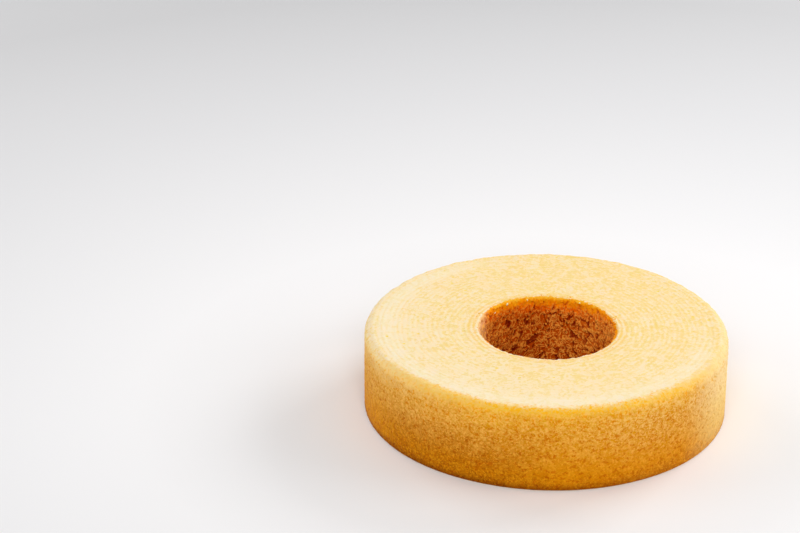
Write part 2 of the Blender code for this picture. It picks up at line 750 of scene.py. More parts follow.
@dataclass
class SpongeSweep:
    """Sweeps an outline round the hole's axis and raises its crumb.

    The relief of the baked side is low where its pits are closed, higher where they are open, and
    higher still well above the foot.
    """

    around_steps: int
    rings: LayerRings = LayerRings()
    cut: CutCrumb = CutCrumb()
    side: BakedCrumb = BakedCrumb()
    wall: TornCrumb = TornCrumb()
    swell: Lumps = Lumps(42 * MM, 1.0, 23)
    rim_rag: Lumps = Lumps(3.4 * MM, 1.5, 25)
    rim: Band = (-5 * MM, -1 * MM, 1 * MM, 6 * MM)
    lip_rag: Lumps = Lumps(1.6 * MM, 1.5, 26, 0.7)
    lip: Band = (-2.4 * MM, -1.0 * MM, 1 * MM, 3 * MM)
    dome_width: float = 0.9
    closed_relief: float = 0.1
    open_relief: float = 0.5
    high_relief: float = 0.35
    high: Span = (4 * MM, 22 * MM)
    hole_shift: Triple = (0.5 * MM, -0.2 * MM, 0.0)
    shift_fades: float = 55 * MM

    def recipe(self) -> NodeRecipe:
        """Names the tree's inputs.

        Returns:
            The recipe, with the depth of each kind of relief.
        """
        inputs = {
            "Around Steps": self.around_steps,
            "Swell Depth": 0.6 * MM,
            "Rim Rag Depth": 0.9 * MM,
            "Lip Rag Depth": 1.1 * MM,
            "Layer Dome": 0.04 * MM,
            "Crumb Depth": 0.18 * MM,
            "Pore Depth": 0.15 * MM,
            "Wall Depth": 0.14 * MM,
            "Pit Depth": 0.65 * MM,
            "Crag Depth": 2.4 * MM,
            "Strand Depth": 0.5 * MM,
            "Tear Depth": 0.9 * MM,
        }
        return NodeRecipe("sponge_sweep", inputs)

    def relief(self, place: Place, size: dict[str, Field]) -> Field:
        """How far the surface is raised at a place.

        Args:
            place: Where the point lies before it is raised.
            size: The tree's named inputs.

        Returns:
            The height of the relief in metres, below zero in a pit.
        """
        baked, torn = ZONES.baked(place), ZONES.torn(place)
        swell = self.swell.swing(place, size["Swell Depth"])
        rim = ZONES.past_rim(place).band(*self.rim)
        rim_rag = self.rim_rag.swing(place, size["Rim Rag Depth"]) * rim
        lip = ZONES.past_lip(place).band(*self.lip)
        lip_rag = self.lip_rag.swing(place, size["Lip Rag Depth"]) * lip
        dome = self.rings.seams(place, self.dome_width) * -1.0 * size["Layer Dome"]
        crumb = self.cut.crumb.swing(place, size["Crumb Depth"])
        pores = self.cut.pores.at(place) * size["Pore Depth"]
        walls = self.side.walls(place) * size["Wall Depth"]
        hollows = (self.side.hollows(place) - 0.5) * size["Pit Depth"]
        crags = self.wall.crag.swing(place, size["Crag Depth"])
        strands = self.wall.strands(place) * size["Strand Depth"]
        tears = self.wall.pits(place) * size["Tear Depth"]
        opened = ZONES.open_crust(place) * self.open_relief + self.closed_relief
        opened = opened + place.height().between(*self.high) * self.high_relief
        cut_part = (dome + crumb - pores) * (1 - baked) * (1 - torn)
        baked_part = (walls + hollows) * baked * opened
        torn_part = (crags + strands - tears) * torn
        return swell + rim_rag + lip_rag + cut_part + baked_part + torn_part

    def tree(self, recipe: NodeRecipe, material: bpy.types.Material) -> bpy.types.NodeTree:
        """Builds the tree.

        Args:
            recipe: Its named inputs.
            material: What the swept ring wears.

        Returns:
            The tree.
        """
        graph, outline_mesh, size = recipe.new_tree()
        reader = "GeometryNodeInputNamedAttribute"

        def attribute(name: str) -> Field:
            """Reads a number that the points carry."""
            return graph.field(reader, "Attribute", {"data_type": "FLOAT"}, {"Name": name})

        def store(geometry: Field, name: str, value: Field, kind: str) -> Field:
            """Keeps a value on the points."""
            values = {"Geometry": geometry, "Name": name, "Value": value}
            return graph.field("GeometryNodeStoreNamedAttribute", 0, {"data_type": kind}, values)

        outline = graph.field("GeometryNodeMeshToCurve", 0, None, {0: outline_mesh})
        path_values = {"Resolution": size["Around Steps"], "Radius": OUTER_RADIUS}
        path = graph.field("GeometryNodeCurvePrimitiveCircle", 0, None, path_values)
        angle = graph.field("GeometryNodeInputIndex", 0) / size["Around Steps"] * math.tau
        path = store(path, "around", angle, "FLOAT")
        swept_values = {"Curve": path, "Profile Curve": outline}
        swept = graph.field("GeometryNodeCurveToMesh", 0, None, swept_values)
        cosine = graph.math("COSINE", attribute("around"))
        sine = graph.math("SINE", attribute("around"))
        radius = attribute("outline_radius")
        place = graph.join(radius * cosine, radius * sine, attribute("outline_height"))
        placed_values = {"Geometry": swept, "Position": place}
        placed = graph.field("GeometryNodeSetPosition", 0, None, placed_values)
        here = graph.field("GeometryNodeInputPosition", 0)
        kept = store(placed, REST_PLACE, here, "FLOAT_VECTOR")
        settings = {"data_type": "FLOAT_VECTOR"}
        rest = graph.place(reader, "Attribute", settings, {"Name": REST_PLACE})
        raised = self.relief(rest, size)
        out_push = raised * attribute("push_out")
        up_push = raised * attribute("push_up")
        offset = graph.join(out_push * cosine, out_push * sine, up_push)
        near_hole = radius.between(self.shift_fades, HOLE_RADIUS)
        shift = graph.scaled(self.hole_shift, near_hole)
        raised_values = {"Geometry": kept, "Offset": offset + shift}
        relieved = graph.field("GeometryNodeSetPosition", 0, None, raised_values)
        recipe.finish(relieved, material)
        return graph.tree


class Face(Enum):
    """What bounds a ring of layers on its inner or outer side."""

    SEAM = "next layers"
    BAKED_SIDE = "outside of the cake"
    HOLE_WALL = "hole"


@dataclass
class RingOfLayers:
    """One of the nested rings of layers that the cake is made of."""

    name: str
    slot: str
    inner: float
    outer: float
    top_spacing: float
    side_spacing: float
    around_spacing: float
    inner_face: Face = Face.SEAM
    outer_face: Face = Face.SEAM
    seam_spacing: float = 4.0 * MM
    under_spacing: float = 1.6 * MM

    def outline(self) -> Outline:
        """Draws the ring's outline.

        Returns:
            The outline, from the inner top edge outwards.
        """
        line = Outline()
        inner_top, outer_top = (self.inner, TOP), (self.outer, TOP)
        inner_foot, outer_foot = (self.inner, 0.0), (self.outer, 0.0)
        up, out, into_hole = (0.0, 1.0), (1.0, 0.0), (-1.0, 0.0)
        if self.inner_face is Face.HOLE_WALL:
            lip = (self.inner + LIP_RADIUS, TOP - LIP_RADIUS)
            line.turn(lip, LIP_RADIUS, (180, 90), self.side_spacing)
            inner_top = (lip[0], TOP)
            inner_foot = (self.inner + HOLE_FOOT_RADIUS, 0.0)
        if self.outer_face is Face.BAKED_SIDE:
            outer_top = (self.outer - SHOULDER_RADIUS, TOP)
            outer_foot = (self.outer - BASE_EDGE_RADIUS, 0.0)
        line.run(inner_top, outer_top, self.top_spacing, up)
        if self.outer_face is Face.BAKED_SIDE:
            shoulder = (outer_top[0], TOP - SHOULDER_RADIUS)
            base = (outer_foot[0], BASE_EDGE_RADIUS)
            line.turn(shoulder, SHOULDER_RADIUS, (90, 0), self.side_spacing)
            line.run((self.outer, shoulder[1]), (self.outer, base[1]), self.side_spacing, out)
            line.turn(base, BASE_EDGE_RADIUS, (0, -90), self.side_spacing, (1.0, 0.0))
        else:
            line.points.append(OutlinePoint(*outer_top, *up))
            below = (self.outer, TOP - self.seam_spacing)
            line.run(below, outer_foot, self.seam_spacing)
        line.run(outer_foot, inner_foot, self.under_spacing)
        if self.inner_face is Face.HOLE_WALL:
            foot = (inner_foot[0], HOLE_FOOT_RADIUS)
            wall_foot = (self.inner, HOLE_FOOT_RADIUS)
            wall_top = (self.inner, TOP - LIP_RADIUS)
            line.turn(foot, HOLE_FOOT_RADIUS, (270, 180), self.side_spacing, (0.0, 1.0))
            line.run(wall_foot, wall_top, self.side_spacing, into_hole)
        else:
            line.run(inner_foot, inner_top, self.seam_spacing)
        return line

    def build(self, material: bpy.types.Material) -> bpy.types.Object:
        """Makes the ring and ties it to the frame.

        Args:
            material: What it wears.

        Returns:
            The finished object.
        """
        ring = new_object(self.name, self.outline().mesh(self.name))
        steps = math.ceil(math.tau * self.outer / self.around_spacing)
        sweep = SpongeSweep(steps)
        recipe = sweep.recipe()
        recipe.apply(ring, sweep.tree(recipe, material))
        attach(ring, BODY)
        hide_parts(CAKE_NODE)
        faces = sum(len(face.vertices) - 2 for face in ring.data.polygons)
        LOG.info("%s: %d steps round, %d triangles", self.name, steps, faces)
        return ring


def make_material(name: str, dress: Callable[[Graph], Field]) -> bpy.types.Material:
    """Makes a material.

    Args:
        name: Its name.
        dress: Adds its nodes to an empty tree and gives its surface.

    Returns:
        The material.
    """
    material = bpy.data.materials.new(name)
    material.use_nodes = True
    material.node_tree.nodes.clear()
    graph = Graph(material.node_tree)
    graph.node("ShaderNodeOutputMaterial", None, {"Surface": dress(graph)})
    return material


@dataclass(frozen=True)
class SpongeShader:
    """How sponge takes light: matt, a little translucent, with a fuzz of fine crumb."""

    roughness: float = 0.6
    shine: float = 0.05
    glow: float = 0.35
    glow_radius: Triple = (1.0, 0.6, 0.3)
    glow_depth: float = 0.5 * MM
    fuzz: float = 0.12
    fuzz_roughness: float = 0.4
    fuzz_tint: Colour = (1.0, 0.95, 0.85, 1.0)

    def surface(self, colour: Field, normal: Field) -> Field:
        """Adds the shader.

        Args:
            colour: The crumb's colour.
            normal: The bumped normal.

        Returns:
            The shader's output.
        """
        values = {
            "Base Color": colour,
            "Roughness": self.roughness,
            "Normal": normal,
            "Subsurface Weight": self.glow,
            "Subsurface Radius": self.glow_radius,
            "Subsurface Scale": self.glow_depth,
            "Specular IOR Level": self.shine,
            "Sheen Weight": self.fuzz,
            "Sheen Roughness": self.fuzz_roughness,
            "Sheen Tint": self.fuzz_tint,
        }
        settings = {"subsurface_method": "RANDOM_WALK"}
        return colour.graph.field("ShaderNodeBsdfPrincipled", 0, settings, values)


@dataclass(frozen=True)
class CutFinish:
    """The cut top: pale cream, with thin yellow lines where layers meet."""

    shader: SpongeShader = SpongeShader()
    crumb: CutCrumb = CutCrumb()
    rings: LayerRings = LayerRings()
    cream: Colour = srgb(255, 223, 163)
    pale: Colour = srgb(255, 230, 198)
    deep: Colour = srgb(245, 208, 104)
    line: Colour = srgb(254, 212, 104)
    line_by_hole: Colour = srgb(246, 178, 74)
    crown: Colour = srgb(255, 241, 216)
    warm: Wash = Wash(srgb(255, 217, 146), 0.5)
    cool: Wash = Wash(srgb(255, 230, 188), 0.6)
    cool_outside: Wash = Wash(cool.colour, 0.55)
    by_hole: Wash = Wash(srgb(255, 208, 126), 0.75)
    # A painted highlight on the front part of the top, near its rim.
    painted_rim_highlight: Wash = Wash(crown, 0.3)
    speck: Wash = Wash(line, 0.3)
    pore: Wash = Wash(srgb(253, 216, 58), 0.85)
    # A painted highlight along the lip's edge.
    painted_lip_highlight: Wash = Wash(crown, 0.3)
    warm_side: Triple = (0.62, 0.78, 0.0)
    nears_hole: Span = (8.0 * MM, 0.5 * MM)
    outer_part: Span = (44 * MM, 66 * MM)
    painted_rim_highlight_lies: Band = (60 * MM, 66 * MM, 68 * MM, 71 * MM)
    lip_edge: Span = (-1.8 * MM, -1.0 * MM)
    patch: Lumps = Lumps(17 * MM, 1.0, 30)
    fine: Lumps = Lumps(1.2 * MM, 1.5, 31, 0.7, 0.8)
    coarse: Lumps = Lumps(3.0 * MM, 1.0, 32, 0.6, 0.8)
    gap: Lumps = Lumps(4.5 * MM, 1.0, 33)
    seam_width: float = 0.5

    def mottled(self, base: Field, place: Place, outside: Field) -> Field:
        """Lays pale and deep crumb over the ground colour.

        Args:
            base: The ground colour.
            place: Where it is read.
            outside: How far out a place lies, on the side where that part is cooler.

        Returns:
            The colour.
        """
        streaks = self.rings.streaks(place)
        mottle = self.fine.at(place) * 0.42 + self.coarse.at(place) * 0.46 + streaks * 0.12
        mottle = mottle.between(0.39, 0.61)
        strength = 0.62 - self.patch.at(place).between(0.3, 0.7) * 0.14 - outside * 0.04
        base = mix(mottle.between(0.5, 1.0) * (strength - 0.06), base, self.deep)
        return mix(mottle.between(0.5, 0.0) * strength, base, self.pale)

    def lined(self, base: Field, place: Place, near: Field) -> Field:
        """Draws the layers: yellow lines where they meet, paler between, clearest left and right.

        Args:
            base: The colour without them.
            place: Where it is read.
            near: How near the hole a place lies, where the lines are strongest.

        Returns:
            The colour.
        """
        broken = self.gap.at(place).between(0.35, 0.65)
        ends = abs(place.measure("DOT_PRODUCT", RIGHT) / place.radius())
        clear = ends.between(0.35, 0.95) * 0.75 + 0.25
        seam = self.rings.seams(place, self.seam_width)
        base = mix(seam * (broken * 0.34 + near * 0.15) * clear, base, self.line)
        crown = self.rings.crowns(place) * (broken * 0.6 + 0.4)
        base = mix(crown * (near * 0.24 + 0.2) * clear, base, self.crown)
        return mix(seam * near * 0.28 * clear, base, self.line_by_hole)

    def colour(self, place: Place) -> Field:
        """The crumb's colour.

        Args:
            place: Where it is read.

        Returns:
            The colour.
        """
        radius = place.radius()
        warm = place.towards(self.warm_side, OUTER_RADIUS)
        near = (radius - HOLE_RADIUS).between(*self.nears_hole)
        outside = radius.between(*self.outer_part) * warm.between(0.6, -0.3)
        base = self.warm.over(self.cream, warm.between(-0.5, 0.9))
        base = self.cool.over(base, warm.between(-0.1, -0.9))
        base = self.cool_outside.over(base, outside)
        base = self.by_hole.over(base, near)
        base = self.mottled(base, place, outside)
        # Painted highlight on the front part of the top, near its rim.
        ring = radius.band(*self.painted_rim_highlight_lies)
        base = self.painted_rim_highlight.over(base, ring * warm.between(0.7, 0.1))
        base = self.lined(base, place, near)
        base = self.speck.over(base, self.crumb.specks.at(place))
        base = self.pore.over(base, self.crumb.pores.at(place))
        # Painted highlight along the lip's edge, on the front and left of the hole.
        edge = ZONES.past_lip(place).between(*self.lip_edge)
        return self.painted_lip_highlight.over(base, edge * warm.between(0.3, -0.3))


@dataclass(frozen=True)
class Fading:
    """A strength that is greatest at the rim and loses some of itself down to the foot."""

    at_rim: float
    lost: float

    def at(self, low: Field) -> Field:
        """The strength, where low is 0 at the rim and 1 at the foot."""
        return self.at_rim - low * self.lost


@dataclass(frozen=True)
class BakedFinish:
    """The baked side: bright gold under the rim, deeper towards the foot, with orange pits."""

    shader: SpongeShader = SpongeShader(fuzz=0.06, fuzz_roughness=0.3, glow=0.2, shine=0.02)
    crumb: BakedCrumb = BakedCrumb()
    # Darker towards the foot: partly a deeper bake, partly painted shade; the last stop is painted
    # contact shade.
    down_the_side: Stops = (
        (-7.0 * MM, srgb(255, 223, 144)),
        (-3.5 * MM, srgb(255, 215, 116)),
        (-0.5 * MM, srgb(252, 201, 66)),
        (3.0 * MM, srgb(232, 170, 24)),
        (9.0 * MM, srgb(218, 150, 8)),
        (20.0 * MM, srgb(212, 139, 4)),
        (28.0 * MM, srgb(203, 125, 0)),
        (34.0 * MM, srgb(166, 88, 0)),
    )
    pale: Colour = srgb(248, 190, 96)
    pale_below: Colour = srgb(238, 161, 20)
    deep: Colour = srgb(214, 128, 0)
    rim_spot: Colour = srgb(255, 184, 14)
    # Pit tints: partly the pits' deeper orange crumb, partly painted shade in the hollows.
    pit_above: Colour = (0.94, 0.66, 0.02, 1.0)
    pit_below: Colour = (0.78, 0.50, 0.02, 1.0)
    # Colours of a painted sheen that pales the side's two ends.
    white: Colour = srgb(248, 222, 168)
    sheen_white_below: Colour = srgb(251, 238, 158)
    # Tints of painted shade: on the lower front left, and contact shade at the foot.
    lower_left_shade_tint: Colour = (0.59, 0.45, 0.5, 1.0)
    foot_shade_tint: Colour = (0.55, 0.42, 0.4, 1.0)
    lower_left_shade_side: Triple = (-0.50, -0.866, 0.0)
    early_side: Triple = (-0.60, -0.80, 0.0)
    waver: Lumps = Lumps(6 * MM, 2.0, 41, 0.6)
    least_waver: float = 4 * MM
    waver_gain: float = 5 * MM
    waver_grows: Span = (-4 * MM, 6 * MM)
    patch: Lumps = Lumps(3 * MM, 1.0, 45)
    lower_part: Span = (4 * MM, 30 * MM)
    lower_left_shade_span: Span = (5 * MM, 24 * MM)
    settles: Span = (-2.5 * MM, 4.0 * MM)
    pits_redden: Span = (2 * MM, 16 * MM)
    nears_rim: Span = (9 * MM, 0.0)
    left_rim_sheen: Span = (3 * MM, -1 * MM)
    leaves_foot: Span = (0.5 * MM, 6 * MM)
    nears_foot: Span = (4.0 * MM, 0.5 * MM)
    edge_rag: Lumps = Lumps(1.8 * MM, 2.0, 51, 0.6)
    edge_rag_depth: float = 8 * MM
    pit_rag: float = 1.2 * MM
    later_right: float = 0.8 * MM
    later_far_right: float = 1.8 * MM
    later_far_left: float = 1.6 * MM
    earlier_ahead: float = 3.0 * MM
    comes_in: Span = (-6.4 * MM, -1.6 * MM)
    ends_above_foot: Span = (0.05 * MM, 0.4 * MM)
    right_sheen_pale: Fading = Fading(0.34, 0.3)
    patch_pale: Fading = Fading(0.4, 0.1)
    grain_pale: Fading = Fading(0.6, 0.1)
    wall_pale: Fading = Fading(0.36, 0.1)
    right_sheen: Fading = Fading(0.69, 0.29)
    pit_dark: Fading = Fading(0.95, 0.2)

    def depth(self, place: Place) -> Field:
        """How far a place is below the line where the crust starts."""
        return ZONES.past_rim(place) - ZONES.crust_drop(place)

    def grained(
        self, base: Field, place: Place, depth: Field, low: Field, turned: Field
    ) -> Field:
        """Lays patches, grains and walls of crumb over the ground colour.

        Args:
            base: The ground colour.
            place: Where it is read.
            depth: How far below the crust's start.
            low: 0 at the rim and 1 at the foot.
            turned: How far to the right, from -1 to 1.

        Returns:
            The colour.
        """
        pale = mix(low, self.pale, self.pale_below)
        # On the right the pale crumb turns whiter, a painted sheen.
        pale = mix(turned.between(0.1, 0.7) * self.right_sheen_pale.at(low), pale, self.white)
        settled = depth.between(*self.settles) * 0.28 + 0.07
        patch = self.patch.at(place)
        grain = self.crumb.grain.at(place)
        base = mix(patch.between(0.54, 0.34) * settled, base, self.deep)
        base = mix(patch.between(0.48, 0.66) * self.patch_pale.at(low), base, pale)
        base = mix(grain.between(0.52, 0.36) * settled, base, self.deep)
        base = mix(grain.between(0.48, 0.64) * self.grain_pale.at(low), base, pale)
        return mix(self.crumb.walls(place) * self.wall_pale.at(low), base, pale)

    def painted_sheen(
        self, place: Place, depth: Field, down: Field, low: Field, turned: Field
    ) -> Field:
        """How much a painted sheen pales the side at its two ends, less so close to the foot.

        Args:
            place: Where it is read.
            depth: How far below the crust's start.
            down: The same, wavering from place to place.
            low: 0 at the rim and 1 at the foot.
            turned: How far to the right, from -1 to 1.

        Returns:
            The share of the painted sheen's pale colour.
        """
        rim = down.between(*self.nears_rim)
        sheen_share = turned.between(0.72, 0.98) * self.right_sheen.at(low)
        sheen_share = sheen_share + turned.between(-0.2, -0.95) * (rim * 0.27 + 0.08 - low * 0.09)
        sheen_share = sheen_share + turned.between(-0.6, -0.98) * depth.between(*self.left_rim_sheen) * 0.3
        return sheen_share * (place.height().between(*self.leaves_foot) * 0.5 + 0.5)

    def colour(self, place: Place) -> Field:
        """The side's colour.

        Args:
            place: Where it is read.

        Returns:
            The colour.
        """
        depth = self.depth(place)
        uneven = depth.between(*self.waver_grows) * self.waver_gain + self.least_waver
        down = depth + self.waver.swing(place, uneven)
        low = down.between(*self.lower_part)
        turned = place.towards(RIGHT, OUTER_RADIUS)
        # Painted shade on the lower front left of the side.
        facing = place.towards(self.lower_left_shade_side, OUTER_RADIUS)
        lower_left_shade = facing.between(0.80, 1.0) * down.between(*self.lower_left_shade_span)
        base = mix(lower_left_shade, down.ramp(self.down_the_side), self.lower_left_shade_tint, Blend.TINT)
        base = self.grained(base, place, depth, low, turned)
        # Painted sheen at both ends of the side.
        sheen_share = self.painted_sheen(place, depth, down, low, turned)
        base = mix(sheen_share, base, mix(low, self.white, self.sheen_white_below))
        # Painted contact shade at the foot, strongest at the front left and none at the right end.
        foot = place.height().between(*self.nears_foot)
        foot = foot * (turned.between(0.95, 0.3) * 0.75 + facing.between(0.6, 1.0) * 0.25)
        base = mix(foot, base, self.foot_shade_tint, Blend.TINT)
        opened = ZONES.open_crust(place) * (1 - sheen_share * 0.5)
        spots = self.crumb.hollows(place).between(0.52, 0.40) * (1 - opened)
        spots = spots * (0.9 - turned.between(-0.2, -0.8) * 0.6 - turned.between(0.6, 0.9) * 0.9)
        base = mix(spots, base, self.rim_spot)
        # The pits' tint is partly their own deeper crumb, partly painted shade in the hollows.
        tint = mix(down.between(*self.pits_redden), self.pit_above, self.pit_below)
        pits = self.crumb.pits(place) * opened * self.pit_dark.at(low)
        return mix(pits, base, tint, Blend.TINT)

    def share(self, place: Place) -> Field:
        """How much of it shows: it comes in raggedly, later at both ends and earlier at the front.

        Args:
            place: Where it is read.

        Returns:
            The share, from 0 on the cut top to 1 down the side.
        """
        rag = self.edge_rag.swing(place, self.edge_rag_depth)
        rag = rag + self.crumb.pits(place) * self.pit_rag
        turned = place.towards(RIGHT, OUTER_RADIUS)
        early = place.towards(self.early_side, OUTER_RADIUS)
        soft = turned.between(0.6, 0.95)
        down = self.depth(place) + rag * (1 - soft * 0.6) - soft * self.later_right
        down = down - turned.between(0.88, 0.99) * self.later_far_right
        down = down - turned.between(-0.80, -0.95) * self.later_far_left
        down = down + early.between(0.88, 0.97) * self.earlier_ahead
        above_foot = place.height().between(*self.ends_above_foot)
        return down.between(*self.comes_in) * above_foot


@dataclass(frozen=True)
class TornFinish:
    """The hole's wall: painted orange glow under the lip, then brown, with strands and dark pits.
    """

    shader: SpongeShader = SpongeShader(fuzz=0.03, fuzz_roughness=0.25, glow=0.2, shine=0.02)
    crumb: TornCrumb = TornCrumb()
    # The bright orange top stops are a painted glow of light that comes through the crumb under
    # the lip.
    down_the_wall: Stops = (
        (-0.6 * MM, srgb(255, 182, 44)),
        (0.8 * MM, srgb(255, 162, 8)),
        (2.6 * MM, srgb(255, 146, 0)),
        (4.6 * MM, srgb(242, 110, 0)),
        (7.4 * MM, srgb(200, 86, 0)),
        (30.0 * MM, srgb(184, 77, 0)),
    )
    strand: Wash = Wash(srgb(252, 176, 70), 0.85)
    # A painted light on the right part of the wall.
    bright: Wash = Wash(srgb(246, 162, 60), 0.3)
    # Colour of painted light and sheen at the left end of the wall.
    painted_wall_sheen: Colour = srgb(244, 220, 170)
    # Pit tint: partly the pits' own darker crumb, partly painted shade in the hollows.
    pit_tint: Colour = (0.42, 0.11, 0.03, 1.0)
    # Tint of painted shade on the far left part of the wall.
    wall_shade_tint: Colour = (0.84, 0.74, 0.6, 1.0)
    wall_shade_side: Triple = (-0.55, 0.835, 0.0)
    far_side: Triple = (-0.1, 1.0, 0.0)
    lit_wall_side: Triple = (0.99, 0.1, 0.0)
    broad_waver: Lumps = Lumps(3 * MM, 2.0, 43, 0.6)
    fine_waver: Lumps = Lumps(1.1 * MM, 1.0, 55, 0.6)
    waver_depth: float = 5 * MM
    fine_rag: Lumps = Lumps(1.5 * MM, 2.0, 52, 0.6)
    fine_rag_depth: float = 3.6 * MM
    broad_rag: Lumps = Lumps(4.0 * MM, 1.0, 54)
    broad_rag_depth: float = 1.6 * MM
    lower_right: float = 1.4 * MM
    lower_left: float = 2.0 * MM
    painted_wall_sheen_thins: Span = (8 * MM, 22 * MM)
    below_lip: Span = (1.2 * MM, 5.2 * MM)
    earlier_far: float = 1.3 * MM
    comes_in: Span = (-0.4 * MM, 0.0)
    ends_above_foot: Span = (0.2 * MM, 1 * MM)

    def colour(self, place: Place) -> Field:
        """The wall's colour.

        Args:
            place: Where it is read.

        Returns:
            The colour.
        """
        down = ZONES.past_lip(place) + self.broad_waver.swing(place, self.waver_depth)
        down = down + self.fine_waver.swing(place, self.waver_depth)
        plain = place.towards(self.lit_wall_side, HOLE_RADIUS)
        down = down + plain.between(0.55, 0.95) * self.lower_right
        turned = place.towards(LEFT, HOLE_RADIUS)
        down = down + turned.between(0.70, 1.0) * self.lower_left
        # Painted light and sheen pale the left end of the wall, thinning lower down.
        wall_sheen_share = turned.between(0.86, 1.0) * (0.6 - down.between(*self.painted_wall_sheen_thins) * 0.25)
        below = down.between(*self.below_lip)
        base = mix(wall_sheen_share, down.ramp(self.down_the_wall), self.painted_wall_sheen)
        # Painted light on the right part of the wall.
        base = self.bright.over(base, plain.between(0.35, 1.0) * below)
        base = self.strand.over(base, self.crumb.strands(place) * below)
        # Painted shade on the far left part of the wall.
        wall_shade = place.towards(self.wall_shade_side, HOLE_RADIUS).between(0.78, 0.98) * below
        base = mix(wall_shade, base, self.wall_shade_tint, Blend.TINT)
        # The pits' dark tint is partly their own darker crumb, partly painted shade in the
        # hollows.
        dark = self.crumb.pits(place) * (below * 0.85 + 0.1) * (1 - wall_sheen_share)
        return mix(dark, base, self.pit_tint, Blend.TINT)

    def share(self, place: Place) -> Field:
        """How much of it shows: it comes in raggedly, and earlier at the far side.

        Args:
            place: Where it is read.

        Returns:
            The share, from 0 on the cut top to 1 down the wall.
        """
        rag = self.fine_rag.swing(place, self.fine_rag_depth)
        rag = rag + self.broad_rag.swing(place, self.broad_rag_depth)
        ahead = place.towards(self.far_side, HOLE_RADIUS)
        down = ZONES.past_lip(place) + rag + ahead.between(0.3, 0.9) * self.earlier_far
        return down.between(*self.comes_in) * place.height().between(*self.ends_above_foot)


@dataclass(frozen=True)
class SpongeMaterial:
    """A ring's material: the cut face, and the baked side or the torn wall where it has one."""

    name: str
    shows: Face = Face.SEAM
    grain: Lumps = Lumps(0.5 * MM, 2.0, 53, 0.6)
    grain_depth: float = 0.14 * MM
    hollow_depth: float = 0.2 * MM

    def dress(self, graph: Graph) -> Field:
        """Blends the ring's finishes.

        Args:
            graph: The material's tree.

        Returns:
            The surface.
        """
        place = graph.place("ShaderNodeAttribute", "Vector", {"attribute_name": REST_PLACE})
        relief = self.grain.at(place) * self.grain_depth
        bump = relief.bump()
        cut = CutFinish()
        surface = cut.shader.surface(cut.colour(place), bump)
        if self.shows is Face.SEAM:
            return surface
        if self.shows is Face.BAKED_SIDE:
            finish = BakedFinish()
            bump = (relief + finish.crumb.hollows(place) * self.hollow_depth).bump()
        else:
            finish = TornFinish()
        other = finish.shader.surface(finish.colour(place), bump)
        blend = {0: finish.share(place), 1: surface, 2: other}
        return graph.field("ShaderNodeMixShader", 0, None, blend)

    def build(self) -> bpy.types.Material:
        """Makes the material."""
        return make_material(self.name, self.dress)


@dataclass(frozen=True)
class CrumbFinish:
    """Loose crumbs: one soft colour that differs a little from crumb to crumb."""

    name: str
    light: Colour
    dark: Colour
    shader: SpongeShader = SpongeShader(fuzz=0.1, glow=0.2)
    patch: Lumps = Lumps(2.0 * MM, 1.0, 61)
    grain: Lumps = Lumps(0.4 * MM, 1.0, 62)
    grain_depth: float = 0.1 * MM

    def dress(self, graph: Graph) -> Field:
        """Adds the crumbs' colour and grain.

        Args:
            graph: The material's tree.

        Returns:
            The surface.
        """
        place = graph.place("ShaderNodeTexCoord", "Object")
        colour = mix(self.patch.at(place).between(0.35, 0.65), self.light, self.dark)
        return self.shader.surface(colour, self.grain.at(place).bump(self.grain_depth))

    def build(self) -> bpy.types.Material:
        """Makes the material."""
        return make_material(self.name, self.dress)


